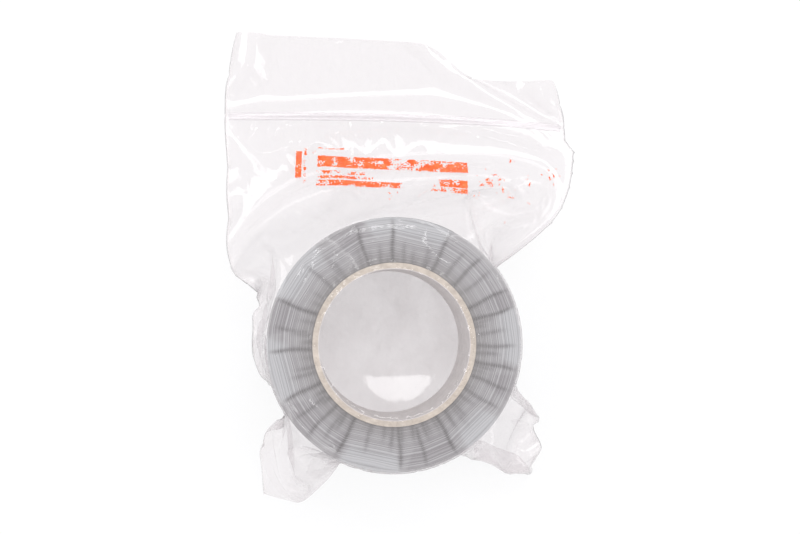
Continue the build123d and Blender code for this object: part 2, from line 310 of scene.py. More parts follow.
    def collide(self, friction=0.5):
        """Keeps the film out of the roll and off the floor."""
        p = self.p
        x, y, z = p[..., 0], p[..., 1], p[..., 2]
        r = np.hypot(x, y) + 1e-9
        level, half = (ROLL_LOW + ROLL_HIGH) / 2, (ROLL_HIGH - ROLL_LOW) / 2
        out = r - (ROLL_OUT - ROLL_EDGE_RADIUS)
        up = np.abs(z - level) - (half - ROLL_EDGE_RADIUS)
        beyond = np.hypot(np.maximum(out, 0), np.maximum(up, 0))
        distance = beyond + np.minimum(np.maximum(out, up), 0) - ROLL_EDGE_RADIUS
        inside = (distance < 0) & (r > BORE)
        corner = (out > 0) & (up > 0)
        side = ~corner & (out > up)
        turn_out = np.where(corner, out / (beyond + 1e-9), np.where(side, 1.0, 0.0))
        turn_up = np.where(corner, up / (beyond + 1e-9), np.where(side, 0.0, 1.0)) * np.sign(z - level)
        push = np.where(inside, -distance, 0.0)
        p[..., 0] += push * turn_out * x / r
        p[..., 1] += push * turn_out * y / r
        p[..., 2] += push * turn_up
        z = p[..., 2]
        on_core = (r > BORE) & (r < CORE_OUT) & (z > level) & (z < CORE_HIGH)
        over_bore = (r <= BORE) & (z > level)
        dish = CORE_HIGH - DISH_DEPTH * (1 - np.clip(r / BORE, 0, 1) ** 2)
        z = np.where(on_core, CORE_HIGH, np.where(over_bore, dish, z))
        z = np.where((r < BORE) & (z < level), FLOOR_LEVEL, z)
        on_floor = z < FLOOR_LEVEL
        p[..., 2] = np.where(on_floor, FLOOR_LEVEL, z)
        held = np.where(inside | on_floor | on_core | over_bore, friction, 0.0)[..., None]
        self.p = p - (p - self.before) * held * np.array([1, 1, 0])

    def settle(self, steps, passes, pull, damping=0.9, weight=0.004, cling=0.15):
        """Lets the film come to rest round the roll."""
        for _ in range(steps):
            speed = (self.p - self.before) * damping
            speed *= np.minimum(1, 1 / lengths(speed))[..., None]
            self.before = self.p.copy()
            self.p = self.p + speed
            self.p[..., 2] -= weight
            for _ in range(passes):
                self.pull_springs()
                self.keep_apart()
                for row, column, place in self.targets:
                    self.p[row, column] += pull * (place - self.p[row, column])
                self.cling(cling)
                self.straighten_zip()
                self.collide()
        return self.p


def finer(points):
    """The same film with a point added between every two."""
    rows, columns, _ = points.shape
    wide = np.empty((rows, 2 * columns, 3))
    wide[:, 0::2] = points
    wide[:, 1::2] = (points + np.roll(points, -1, 1)) / 2
    both = np.empty((2 * rows - 1, 2 * columns, 3))
    both[0::2] = wide
    both[1::2] = (wide[:-1] + wide[1:]) / 2
    return both


def simulate_bag():
    """The film's points at rest, in millimetres: rows up the bag, columns once round it."""
    points = FilmTube(40, 56).settle(240, 4, pull=0.3)
    points = FilmTube(80, 112, finer(points), bend=0.25, far_bend=0.1).settle(150, 5, 0.2, 0.85)
    return FilmTube(160, 224, finer(points), bend=0.35, far_bend=0.3).settle(40, 4, 0.1, 0.8)


# ---- helpers for meshes -----------------------------------------------------------------------------
def make_mesh(name, points, faces, materials, attributes=None, normals=None, material_of=None):
    """A smooth mesh object, from points in millimetres. attributes holds a number or three a point."""
    mesh = bpy.data.meshes.new(name)
    mesh.from_pydata((np.asarray(points) * MM).tolist(), [], [list(map(int, face)) for face in faces])
    mesh.polygons.foreach_set("use_smooth", np.ones(len(mesh.polygons), bool))
    for key, values in (attributes or {}).items():
        values = np.asarray(values, np.float32)
        kind, field = ("FLOAT", "value") if values.ndim == 1 else ("FLOAT_VECTOR", "vector")
        mesh.attributes.new(key, kind, "POINT").data.foreach_set(field, values.ravel())
    for material in materials:
        mesh.materials.append(material)
    if material_of is not None:
        mesh.polygons.foreach_set("material_index", np.asarray(material_of, np.int32))
    if normals is not None:
        mesh.normals_split_custom_set_from_vertices(np.asarray(normals).tolist())
    made = bpy.data.objects.new(name, mesh)
    bpy.context.scene.collection.objects.link(made)
    return made


def grid_faces(rows, columns, close_rows=False, close_columns=False):
    """The quads of a grid of points, which may close on itself either way."""
    index = np.arange(rows * columns).reshape(rows, columns)
    if close_rows:
        index = np.vstack([index, index[:1]])
    if close_columns:
        index = np.hstack([index, index[:, :1]])
    quads = [index[:-1, :-1], index[:-1, 1:], index[1:, 1:], index[1:, :-1]]
    return np.stack(quads, -1).reshape(-1, 4)


def smooth_step(x):
    x = np.clip(x, 0, 1)
    return x * x * (3 - 2 * x)


def wander(x, y, z=0.0):
    """Smooth noise from -1 to 1 at one point."""
    return noise.noise(Vector((x, y, z)))


# ---- helpers for materials --------------------------------------------------------------------------
class Nodes:
    """A short way to build a material's node tree."""

    def __init__(self, name):
        self.material = bpy.data.materials.new(name)
        self.material.use_nodes = True
        self.tree = self.material.node_tree
        self.tree.nodes.clear()
        self.output = self.add("ShaderNodeOutputMaterial")

    def add(self, kind, inputs=None, **settings):
        node = self.tree.nodes.new(kind)
        for key, value in settings.items():
            setattr(node, key, value)
        for key, value in (inputs or {}).items():
            if isinstance(value, bpy.types.NodeSocket):
                self.tree.links.new(value, node.inputs[key])
            else:
                node.inputs[key].default_value = value
        return node

    def math(self, operation, a, b=0.0, c=0.0, clamp=False):
        node = self.add("ShaderNodeMath", {0: a, 1: b, 2: c}, operation=operation, use_clamp=clamp)
        return node.outputs[0]

    def attribute(self, name, output="Fac"):
        return self.add("ShaderNodeAttribute", attribute_name=name).outputs[output]

    def noise(self, vector, scale, detail=3.0, roughness=0.5):
        inputs = {"Vector": vector, "Scale": scale, "Detail": detail, "Roughness": roughness}
        return self.add("ShaderNodeTexNoise", inputs).outputs["Fac"]

    def noise_along(self, value, scale, detail=3.0):
        inputs = {"W": value, "Scale": scale, "Detail": detail}
        return self.add("ShaderNodeTexNoise", inputs, noise_dimensions="1D").outputs["Fac"]

    def span(self, value, low, high, to_low=0.0, to_high=1.0):
        inputs = {0: value, 1: low, 2: high, 3: to_low, 4: to_high}
        return self.add("ShaderNodeMapRange", inputs).outputs[0]

    def mix(self, share, a, b):
        node = self.add("ShaderNodeMix", data_type="RGBA")
        for key, value in ((0, share), (6, a), (7, b)):
            if isinstance(value, bpy.types.NodeSocket):
                self.tree.links.new(value, node.inputs[key])
            else:
                node.inputs[key].default_value = value if key == 0 else (*value, 1.0)
        return node.outputs[2]

    def bump(self, height, strength, distance, normal=None):
        inputs = {"Height": height, "Strength": strength, "Distance": distance}
        if normal is not None:
            inputs["Normal"] = normal
        return self.add("ShaderNodeBump", inputs).outputs[0]

    def position(self):
        return self.add("ShaderNodeTexCoord").outputs["Object"]

    def stretched(self, vector, scale):
        """The coordinates scaled by a different amount along each axis."""
        return self.add("ShaderNodeMapping", {"Vector": vector, "Scale": scale}).outputs[0]

    def solid(self, colour, roughness, normal, coat=0.0):
        """A plastic or paper surface."""
        inputs = {"Base Color": colour, "Roughness": roughness, "Normal": normal, "Coat Weight": coat}
        return self.add("ShaderNodeBsdfPrincipled", inputs).outputs[0]

    def finish(self, shader):
        self.tree.links.new(shader, self.output.inputs["Surface"])
        return self.material


def clear_film(name, tint, haze, crease_and_bore_shade_haze, gloss, roughness, edge_gloss=0.9, knurled=False):
    """Clear plastic film: it lets light through, is a little milky, and mirrors like plastic."""
    n = Nodes(name)
    flat = n.attribute("flat", "Vector")
    crease, rim = n.attribute("crease"), n.attribute("rim")
    slow = n.noise(n.stretched(flat, (70, 45, 1)), 1.0, 4.0)
    fine = n.noise(n.stretched(flat, (900, 260, 1)), 1.0, 2.0)
    drawn = n.noise(n.stretched(flat, (2600, 120, 1)), 1.0, 2.0)
    loose = n.math("MULTIPLY_ADD", n.attribute("tight"), -0.93, 1.0)
    slow_bump = n.bump(slow, n.math("MULTIPLY", loose, 0.28), 0.0016)
    normal = n.bump(fine, n.math("MULTIPLY", loose, 0.10), 0.00012, slow_bump)
    if knurled:
        knurl = n.add("ShaderNodeTexWave", {"Vector": flat, "Scale": 420.0, "Distortion": 0.4})
        normal = n.bump(knurl.outputs["Fac"], 0.5, 0.0002, normal)
    facing = n.add("ShaderNodeLayerWeight", {"Blend": 0.5, "Normal": normal}).outputs["Facing"]
    cloud = n.span(n.noise(n.stretched(flat, (38, 26, 1)), 1.0, 5.0, 0.6), 0.35, 0.7, 0.75, 1.3)
    # crease holds the folds' haze and also the painted shade of the back film under the core
    milky = n.math("MULTIPLY_ADD", crease, crease_and_bore_shade_haze, haze)
    milky = n.math("MULTIPLY_ADD", rim, 0.15, milky)
    milky = n.math("MULTIPLY_ADD", n.span(drawn, 0.5, 0.8), 0.02, milky)
    milky = n.math("MULTIPLY", milky, cloud)
    milky = n.math("MULTIPLY_ADD", n.math("POWER", facing, 3.0), 0.12, milky, clamp=True)
    body = n.solid((0.76, 0.735, 0.745, 1), 0.45, normal)
    through = n.add("ShaderNodeBsdfTransparent", {"Color": (*tint, 1)})
    rough = n.span(cloud, 0.75, 1.3, roughness * 0.7, roughness * 1.5)
    rough = n.math("MULTIPLY", rough, n.math("MULTIPLY_ADD", n.attribute("tight"), -0.55, 1.0))
    rough = n.math("MULTIPLY_ADD", crease, 0.22, rough)
    inputs = {"Color": (1, 1, 1, 1), "Roughness": rough, "Normal": normal}
    shine = n.add("ShaderNodeBsdfAnisotropic", inputs)
    mirror = n.math("MULTIPLY_ADD", n.math("POWER", facing, 5.0), edge_gloss, gloss, clamp=True)
    soft = n.add("ShaderNodeMixShader", {0: milky, 1: through.outputs[0], 2: body})
    whole = n.add("ShaderNodeMixShader", {0: mirror, 1: soft.outputs[0], 2: shine.outputs[0]})
    return n.finish(whole.outputs[0])


def ink_material():
    """Orange flexo ink, thin in places, so that its film shows a lighter orange there."""
    n = Nodes("orange_ink")
    where = n.position()
    cloud = n.noise(where, 260.0, 5.0, 0.65)
    streak = n.noise(n.stretched(where, (2400, 260, 260)), 1.0, 3.0)
    thin = n.math("MULTIPLY", n.span(cloud, 0.35, 0.75), n.span(streak, 0.3, 0.75, 0.3, 1.0))
    colour = n.mix(thin, (0.83, 0.085, 0.008), (0.97, 0.30, 0.10))
    normal = n.bump(cloud, 0.25, 0.0001)
    return n.finish(n.solid(colour, n.span(cloud, 0.3, 0.8, 0.28, 0.5), normal))


def tape_edge_material():
    """The wound tape seen edge on: hundreds of thin layers, printed grey, with dark kinks."""
    n = Nodes("tape_edge")
    layer, spoke = n.attribute("layer"), n.attribute("spoke")
    wedge, pale = n.attribute("wedge"), n.attribute("pale")
    around = n.attribute("around", "Vector")
    wound = n.math("MULTIPLY_ADD", n.noise(around, 9.0), 0.16, layer)
    fine = n.noise_along(wound, 1.7, 4.0)
    bands = n.noise_along(wound, 0.5, 2.0)
    patch = n.span(n.noise(around, 3.2, 4.0, 0.6), 0.38, 0.62)
    patch = n.math("MULTIPLY", patch, n.span(n.noise_along(layer, 2.0, 4.0), 0.35, 0.65))
    colour = n.mix(n.span(bands, 0.3, 0.7), (0.30, 0.288, 0.30), (0.39, 0.385, 0.40))
    colour = n.mix(n.math("MULTIPLY", patch, 0.3), colour, (0.44, 0.445, 0.46))
    colour = n.mix(n.math("MULTIPLY", pale, 0.8), colour, (0.51, 0.525, 0.545))
    colour = n.mix(n.math("MULTIPLY", wedge, 0.65), colour, (0.235, 0.22, 0.235))
    colour = n.mix(n.span(layer, 41.5, 52.0, 0.55, 0.0), colour, (0.17, 0.155, 0.145))
    lines = n.span(fine, 0.36, 0.60)
    colour = n.mix(n.math("MULTIPLY_ADD", lines, -0.5, 0.5), colour, (0.10, 0.095, 0.10))
    colour = n.mix(n.span(n.noise_along(wound, 1.3), 0.50, 0.68, 0.0, 0.5), colour, (0.60, 0.605, 0.62))
    dashes = n.math("MULTIPLY_ADD", n.span(n.noise_along(wound, 2.1), 0.4, 0.6), 0.5, 0.5)
    dark = n.math("MULTIPLY", n.math("MULTIPLY", spoke, dashes), 0.95, clamp=True)
    colour = n.mix(dark, colour, (0.05, 0.043, 0.045))
    rough = n.span(fine, 0.3, 0.7, 0.32, 0.55)
    return n.finish(n.solid(colour, rough, n.bump(fine, 0.6, 0.00025)))


def tape_face_material():
    """The outer face of the last turn: glossy clear tape over a grey print in soft bars."""
    n = Nodes("tape_face")
    where = n.position()
    inputs = {"Vector": n.stretched(where, (1, 1, 1.4)), "Scale": 26.0, "Distortion": 1.2}
    wave = n.add("ShaderNodeTexWave", inputs).outputs["Fac"]
    bubbles = n.noise(where, 340.0, 4.0)
    cloud = n.noise(n.stretched(where, (30, 30, 8)), 1.0)
    colour = n.mix(n.span(wave, 0.35, 0.65), (0.30, 0.30, 0.315), (0.345, 0.345, 0.36))
    colour = n.mix(n.span(cloud, 0.3, 0.75, 0.0, 0.5), colour, (0.52, 0.53, 0.55))
    rough = n.span(bubbles, 0.3, 0.7, 0.12, 0.26)
    return n.finish(n.solid(colour, rough, n.bump(bubbles, 0.12, 0.0003), coat=0.4))


def paper_material(name, dark, light, fibre):
    """Paperboard: short fibres, soft mottling and a fuzzy surface."""
    n = Nodes(name)
    where = n.position()
    fibres = n.noise(n.stretched(where, fibre), 1.0, 5.0, 0.7)
    mottle = n.noise(where, 210.0, 4.0, 0.6)
    specks = n.span(n.noise(where, 1500.0, 2.0), 0.62, 0.72)
    colour = n.mix(n.span(fibres, 0.3, 0.7), dark, light)
    colour = n.mix(n.span(mottle, 0.35, 0.7, 0.0, 0.45), colour, tuple(0.72 * c for c in dark))
    colour = n.mix(n.math("MULTIPLY", specks, 0.5), colour, (0.20, 0.16, 0.12))
    rough = n.span(mottle, 0.3, 0.7, 0.75, 0.95)
    return n.finish(n.solid(colour, rough, n.bump(fibres, 0.7, 0.0003)))


# ---- the film's pieces ------------------------------------------------------------------------------
# Folds pinched into the film where it lies tight: points in plan, then height and half width.
PINCHES = [
    ([(-37, 52.7), (-31, 50.5), (-26.2, 47.1), (-22, 42), (-19.4, 37.1)], 0.9, 1.0),
    ([(-30.4, 55.2), (-27, 51.5), (-24.9, 47.1)], 0.6, 0.9),
    ([(26.8, 52.7), (29.5, 55), (32.4, 54.7), (38, 51), (43.4, 46.1), (47.9, 41.6)], 0.8, 1.0),
    ([(47.5, 46), (48.9, 43.6), (53.5, 38), (56.5, 31.1)], 0.7, 1.1),
    ([(-47, -45), (-42, -48.8), (-38, -50.8), (-33.4, -51.8)], 0.7, 1.0),
    ([(-27.9, 57.2), (-20, 62.5), (-11.3, 65.5), (0, 65.5), (7.2, 64.5)], 0.8, 1.3),
    ([(-21.4, 37.6), (-25, 35.5), (-29.4, 30)], 0.55, 1.0),
    ([(-14, 40.5), (-9, 41.7)], 0.45, 1.0),
    ([(14, 60), (10, 50), (9, 43)], 0.35, 1.0),
    ([(58, 8), (50, 4), (43, 5)], 0.3, 1.0),
    ([(20, -58), (14, -50), (12, -43)], 0.3, 1.0),
    ([(-76, 89.5), (-76.2, 70), (-76, 50)], 0.5, 0.8),
]
BORE_SHADE_HAZE = 2.1  # how much milky haze is added to the back film under the core: painted shade, whose dimly lit body darkens the bore that the glowing floor keeps bright
RIM_CRUMPLE = 0.75  # how high the film stands in small crumples over the core's rim
# The bulge in the header's right side: how far out, from which X over how much, and the Y where
# it starts below the zip and where it has faded out, each with the length that this takes.
BULGE, BULGE_FROM, BULGE_OVER = 4.4, 50.0, 45.0
BULGE_TOP, BULGE_STEP, BULGE_FOOT, BULGE_FADE = 109.0, 7.0, 40.0, 30.0


def distance_to_path(x, y, path):
    """How far each point is from a line through a few points, in plan."""
    nearest = np.full(x.shape, np.inf)
    for (ax, ay), (bx, by) in zip(path[:-1], path[1:]):
        dx, dy = bx - ax, by - ay
        along = np.clip(((x - ax) * dx + (y - ay) * dy) / (dx * dx + dy * dy), 0, 1)
        nearest = np.minimum(nearest, np.hypot(x - ax - along * dx, y - ay - along * dy))
    return nearest


def grid_normals(points):
    """Outward normals of the film tube's points."""
    across = np.roll(points, -1, 1) - np.roll(points, 1, 1)
    normal = np.cross(across, np.gradient(points, axis=0))
    return normal / lengths(normal)[..., None]


class BagFilm:
    """The film at rest, and what its pieces need of it: normals, creases (which also carry the painted shade
    under the core) and flat places.
    """

    def __init__(self, points):
        self.rows, self.columns, _ = points.shape
        self.n = self.columns // 2
        self.u, self.v = flat_grid(self.n, self.rows - 1)
        self.p = points.copy()
        self.bulge()
        self.pinch()
        self.clear_roll()
        self.normal = grid_normals(self.p)
        bend = lengths(np.roll(self.normal, -1, 1) - np.roll(self.normal, 1, 1))
        bend = bend + lengths(np.gradient(self.normal, axis=0)) * 2
        bend = (bend + np.roll(bend, 1, 1) + np.roll(bend, -1, 1)) / 3
        self.crease = smooth_step((bend - 0.25) / 1.4)
        to_side = BAG_WIDTH / 2 - np.abs(self.u)
        to_mouth = self.v[-1] - self.v
        self.rim = np.exp(-to_side / 0.6) + np.exp(-to_mouth / 0.6) + np.exp(-self.v / 1.6)
        r, z = np.hypot(self.p[..., 0], self.p[..., 1]), self.p[..., 2]
        spans_bore = 1 - smooth_step((r - BORE + 2) / 4)
        self.tight = spans_bore * (z > ROLL_LOW + 5)
        # Painted shade: the back film under the core gets extra haze, whose dimly lit body darkens the bore
        self.crease += BORE_SHADE_HAZE * (1 - smooth_step((r - CORE_OUT) / 4)) * (z < ROLL_LOW + 5)

    def bulge(self):
        """The header's right side is pulled out further below the zip than at the zip."""
        x, y = self.p[..., 0], self.p[..., 1]
        share = smooth_step((BULGE_TOP - y) / BULGE_STEP) * smooth_step((y - BULGE_FOOT) / BULGE_FADE)
        x += BULGE * share * smooth_step((x - BULGE_FROM) / BULGE_OVER)

    def clear_roll(self):
        """Lifts the film just off the winding's upper side, so that the roll can turn below it."""
        r, z = np.hypot(self.p[..., 0], self.p[..., 1]), self.p[..., 2]
        above = (r > CORE_OUT) & (r < ROLL_OUT) & (z > ROLL_HIGH - 2)
        z[above] = np.maximum(z[above], TURN_LEVEL)

    def pinch(self):
        """Raises the folds that are pinched into the film's upper side."""
        front = np.arange(self.columns) <= self.n
        x, y = self.p[..., 0], self.p[..., 1]
        raised = np.zeros(x.shape)
        for path, height, half_width in PINCHES:
            away = distance_to_path(x, y, path)
            raised = np.maximum(raised, height * np.exp(-((away / half_width) ** 2)))
        r = np.hypot(x, y)
        ring = np.where(front[None] & (self.p[..., 2] > ROLL_HIGH - 3), np.exp(-(((r - 40.5) / 2.6) ** 2)), 0)
        for row, column in np.argwhere(ring > 0.05):
            px, py = x[row, column], y[row, column]
            turn = math.atan2(py, px)
            crumple = wander(turn * 9, r[row, column] * 0.16, 3) + 0.6 * wander(px * 0.5, py * 0.5, 7)
            raised[row, column] += RIM_CRUMPLE * ring[row, column] * max(crumple, 0)
        upward = np.clip(grid_normals(self.p)[..., 2], 0, 1)
        self.p[..., 2] += np.where(front[None], raised * upward, 0)

    def cut(self, name, cells, material):
        """The piece made of these cells of the grid."""
        index = np.arange(self.rows * self.columns).reshape(self.rows, self.columns)
        right = np.roll(index, -1, 1)
        quads = np.stack([index[:-1], right[:-1], right[1:], index[1:]], -1)[cells]
        used, faces = np.unique(quads, return_inverse=True)
        flat = np.stack([self.u, self.v, 0 * self.v], -1).reshape(-1, 3)[used] * MM
        attributes = {"flat": flat}
        # crease also carries the painted shade of the back film under the core
        for key, values in (("crease", self.crease), ("rim", self.rim), ("tight", self.tight)):
            attributes[key] = values.ravel()[used]
        points, normals = self.p.reshape(-1, 3)[used], self.normal.reshape(-1, 3)[used]
        return make_mesh(name, points, faces.reshape(-1, 4), [material], attributes, normals)

    def declare(self, piece, cells, held):
        """Works out the width, length and flat area that a piece of the bag was cut to; nothing is done with
        them.
        """
        column, row = self.u[1:], self.v[1:]
        width = np.ptp(column[cells]) + BAG_WIDTH / self.n
        length = np.ptp(row[cells]) + BAG_LENGTH / (self.rows - 1)
        area = (np.diff(self.v, axis=0)[cells] * (BAG_WIDTH / self.n)).sum()
        area = min(float(area), 0.999 * width * length) * MM * MM


EAR_ROOT = 66.2  # an ear's hinge from the roll's axis
EAR_SOFT_FROM, EAR_SOFT_OVER = 4.0, 16.0  # an ear starts to bend so far out, and does so over this
EAR_HIGH, EAR_HIGH_SHARE = 20.6, 0.8  # film above this height bends this much further out a millimetre
EARS_BELOW = 100.0  # the ears' film lies below this, up the bag
FOLD_FROM, FOLD_TO = 66.0, 90.0  # Y where the header bends up from the bag
FLAP_ROW = 213.0  # up the bag: the front film past this row is the mouth's flap
FLAP_FROM, FLAP_TO = 106.0, 117.0  # Y where the flap bends
FLAP_SIDE = 58.0  # the flap opens less within this of the side creases, which stay joined
SEAL_HEIGHT = 2.6  # of the heat-sealed strip along the bag's bottom


def ear_direction(side):
    """Which way an ear points, in plan."""
    x, y, _ = JOINTS[f"ear_{side}_fold"]["pos_m"]
    return np.array([x, y]) / math.hypot(x, y)


def set_weights(piece, weights):
    values = piece.data.attributes["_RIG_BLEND"].data
    values.foreach_set("value", np.asarray(weights, np.float32))


def blend_ear(piece, side):
    """The ear bends up from its root, and its upper film further out, so that it clears the roll."""
    direction = ear_direction(side)
    ends = (EAR_ROOT + EAR_SOFT_FROM, EAR_ROOT + EAR_SOFT_FROM + EAR_SOFT_OVER)
    start, end = (Vector((*(direction * out * MM), 0)) for out in ends)
    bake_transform(piece, "bag", f"ear_{side}", start=start, end=end)
    points = np.array([v.co for v in piece.data.vertices]) / MM
    out = points[:, :2] @ direction - ends[0]
    high = EAR_HIGH_SHARE * np.maximum(points[:, 2] - EAR_HIGH, 0)
    set_weights(piece, smooth_step((out - high) / EAR_SOFT_OVER))


def blend_header(piece):
    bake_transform(piece, "bag", "header", start=(0, FOLD_FROM * MM, 0), end=(0, FOLD_TO * MM, 0))


def blend_flap(piece, to_side):
    """The mouth's flap bows away from the header, and its sides stay joined to the back film."""
    start, end = (0, FLAP_FROM * MM, 0), (0, FLAP_TO * MM, 0)
    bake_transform(piece, "header", "mouth_flap", start=start, end=end)
    up = np.array([v.co.y for v in piece.data.vertices]) / MM
    weights = smooth_step((up - FLAP_FROM) / (FLAP_TO - FLAP_FROM))
    set_weights(piece, weights * smooth_step(to_side / FLAP_SIDE))


def film_pieces(film, clear, seal):
    """Cuts the bag's film into its pieces, puts each on its body and returns the front film."""
    low_row = (film.v[:-1] + film.v[1:]) / 2
    front = np.broadcast_to(np.arange(film.columns) < film.n, low_row.shape)
    corners = film.p + np.roll(film.p, -1, 1)
    centre = (corners[:-1] + corners[1:])[..., :2] / 4
    taken = np.zeros(low_row.shape, bool)
    for side in ("left", "right"):
        ear = (centre @ ear_direction(side) > EAR_ROOT) & (low_row < EARS_BELOW)
        for layer, cells in (("front", ear & front), ("back", ear & ~front)):
            piece = film.cut(f"ear_{side}_{layer}", cells, clear)
            blend_ear(piece, side)
            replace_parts(piece, f"ear_{side}_{layer}_film")
            film.declare(piece, cells, "folded")
        taken |= ear
    seal_cells = front & ~taken & (low_row < SEAL_HEIGHT)
    strip = film.cut("bottom_heat_seal", seal_cells, seal)
    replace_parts(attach(strip, "bag"), "bottom_seal", "corner_webs")
    taken |= seal_cells
    flap = front & (low_row > FLAP_ROW)
    upper = front & ~taken & ~flap
    made = []
    for name, cells, held, replaced in (
        ("mouth_front_wall", flap, "laid", ["mouth_front_film", "lip_front_film"]),
        ("bag_front_film", upper, "stretched", [
            "film_front_face", "film_side_band", "side_fold_right", "neck_front_film", "header_front_film",
        ]),
        ("bag_back_film", ~front & ~taken, "stretched", [
            "film_back_face", "side_fold_left", "neck_back_film", "header_back_film", "lip_back_film",
        ]),
    ):
        piece = film.cut(name, cells, clear)
        if cells is flap:
            blend_flap(piece, film_distance_to_side(piece))
        else:
            blend_header(piece)
        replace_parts(piece, *replaced)
        film.declare(piece, cells, held)
        made.append(piece)
    return made[1]


def film_distance_to_side(piece):
    """How far each of a film piece's points is from the nearer side crease, in millimetres."""
    values = np.zeros(len(piece.data.vertices) * 3, np.float32)
    piece.data.attributes["flat"].data.foreach_get("vector", values)
    return BAG_WIDTH / 2 - np.abs(values.reshape(-1, 3)[:, 0]) / MM


# ---- the zip ----------------------------------------------------------------------------------------
# Sections of the zip's two strips: out along the film, then up from it.
RIB_SECTION = [
    (-2.05, 0.0), (-1.85, 0.2), (-1.6, 0.1), (-0.35, 0.1), (0, 0.26), (0.35, 0.1), (1.6, 0.1),
    (1.85, 0.2), (2.05, 0.0), (1.6, -0.1), (0.12, -0.1), (0.12, -0.3), (0.2, -0.4), (0.0, -0.5),
    (-0.2, -0.4), (-0.12, -0.3), (-0.12, -0.1), (-1.6, -0.1),
]
GROOVE_SECTION = [
    (-2.05, 0.0), (-1.6, -0.1), (1.6, -0.1), (2.05, 0.0), (1.6, 0.1), (0.6, 0.1), (0.58, 0.32),
    (0.36, 0.32), (0.3, 0.1), (-0.3, 0.1), (-0.36, 0.32), (-0.58, 0.32), (-0.6, 0.1), (-1.6, 0.1),
]


def zip_strip(film, name, front, section, material):
    """One half of the zip: its section drawn along its row of the film."""
    row = int(np.argmin(np.abs(film.v[:, 0] - ZIP_AT)))
    columns = np.arange(2, film.n - 1)
    if not front:
        columns = -columns % film.columns
    line = film.p[row, columns]
    along = np.gradient(line, axis=0)
    along /= lengths(along)[:, None]
    across = film.p[row + 2, columns] - film.p[row - 2, columns]
    across -= (across * along).sum(-1, keepdims=True) * along
    across /= lengths(across)[:, None]
    up = np.cross(along, across)
    shape = np.array(section)
    points = line[:, None] + shape[None, :, :1] * across[:, None] + shape[None, :, 1:] * up[:, None]
    count, sides = points.shape[:2]
    ends = [range(sides), range(count * sides - 1, (count - 1) * sides - 1, -1)]
    faces = grid_faces(count, sides, close_columns=True).tolist() + [list(end) for end in ends]
    place = film.u[row, columns]
    flat = np.zeros((count, sides, 3))
    flat[..., 0], flat[..., 1:] = place[:, None], shape
    zeros = np.zeros(count * sides)
    attributes = {"flat": flat.reshape(-1, 3) * MM, "crease": zeros + 0.15, "rim": zeros}
    piece = make_mesh(name, points.reshape(-1, 3), faces, [material], attributes)
    return piece, np.repeat(BAG_WIDTH / 2 - np.abs(place), sides)


def zip_pieces(film, material):
    rib, to_side = zip_strip(film, "zip_rib", True, RIB_SECTION, material)
    blend_flap(rib, to_side)
    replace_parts(rib, "zip_rib_strip")
    groove, _ = zip_strip(film, "zip_groove", False, GROOVE_SECTION, material)
    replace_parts(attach(groove, "header"), "zip_groove_strip")


# ---- the print --------------------------------------------------------------------------------------
# Plain bars in worn ink, in plan: the middle's X and Y, then length, height, tilt and how worn.
BARS = [
    (1.3, 94.8, 79.8, 6.4, -2.7, 0.32), (-31.2, 104.1, 13.8, 1.0, -2, 0.45),
    (-48.7, 95.1, 3.2, 14.9, -2, 0.3), (-45.3, 94.5, 1.3, 19.0, -2, 0.55),
    (-26.4, 89.8, 25.5, 1.9, -2.5, 0.5), (-24.2, 87.1, 29.8, 1.6, -2.5, 0.5),
    (-16.8, 83.4, 45.0, 3.2, -3, 0.3), (32.7, 83.4, 14.9, 4.2, -3, 0.35),
    (29.5, 79.9, 21.0, 2.6, -4, 0.5),
]
# Clusters of loose flecks of the same ink: X, Y, how far they spread and how many.
FLECKS = [
    (72, 107.5, 3.5, 24), (78, 104.5, 2.5, 14), (66, 105, 2.5, 8), (66, 96.5, 1.5, 6), (86, 89.5, 3, 20),
    (54.5, 86.5, 4, 22), (49.5, 84, 3.5, 16), (61, 79, 3.5, 12), (72.5, 86, 2, 6), (72.3, 73.3, 1, 3),
    (46, 78.5, 2, 4), (58, 62.7, 1, 2), (-40, 103, 5, 5), (0, 78, 8, 5), (20, 88, 8, 6), (-46, 106, 3, 4),
]
PRINT_CELL = 0.25
PRINT_AREA = (-54.0, 60.0, 92.0, 113.0)  # lowest X and Y, then highest
INK_LIFT = 0.12


def all_flecks():
    dice = np.random.default_rng(5)
    made = []
    for x, y, spread, count in FLECKS:
        places = dice.normal(0, spread * 0.7, (count, 2))
        halves = 0.14 + 0.55 * dice.random(count) ** 3
        turns = dice.uniform(0, math.pi, count)
        made += [(x + dx, y + dy, half, turn) for (dx, dy), half, turn in zip(places, halves, turns)]
    return made


def ink_at(x, y, flecks):
    """True where there is ink: inside a bar or a fleck, and not worn off."""
    for cx, cy, length, height, tilt, wear in BARS:
        c, s = math.cos(math.radians(tilt)), math.sin(math.radians(tilt))
        along, up = (x - cx) * c + (y - cy) * s, (y - cy) * c - (x - cx) * s
        inside = min(length / 2 - abs(along), height / 2 - abs(up)) + 0.3 * wander(x * 1.9, y * 1.9, 5)
        if inside > 0:
            ground = 0.5 + 0.5 * wander(x * 0.22, y * 0.35, 1) + 0.45 * wander(x * 1.1, y * 1.6, 2)
            return ground > wear + 0.25 * math.exp(-(((x - 9) / 10) ** 2))
    for cx, cy, half, turn in flecks:
        if abs(x - cx) > 2 or abs(y - cy) > 2:
            continue
        c, s = math.cos(turn), math.sin(turn)
        along, up = (x - cx) * c + (y - cy) * s, (y - cy) * c - (x - cx) * s
        if math.hypot(along * 0.6, up * 1.6) < half * (1 + 1.3 * wander(x * 2.3, y * 2.3, cx)):
            return True
    return False


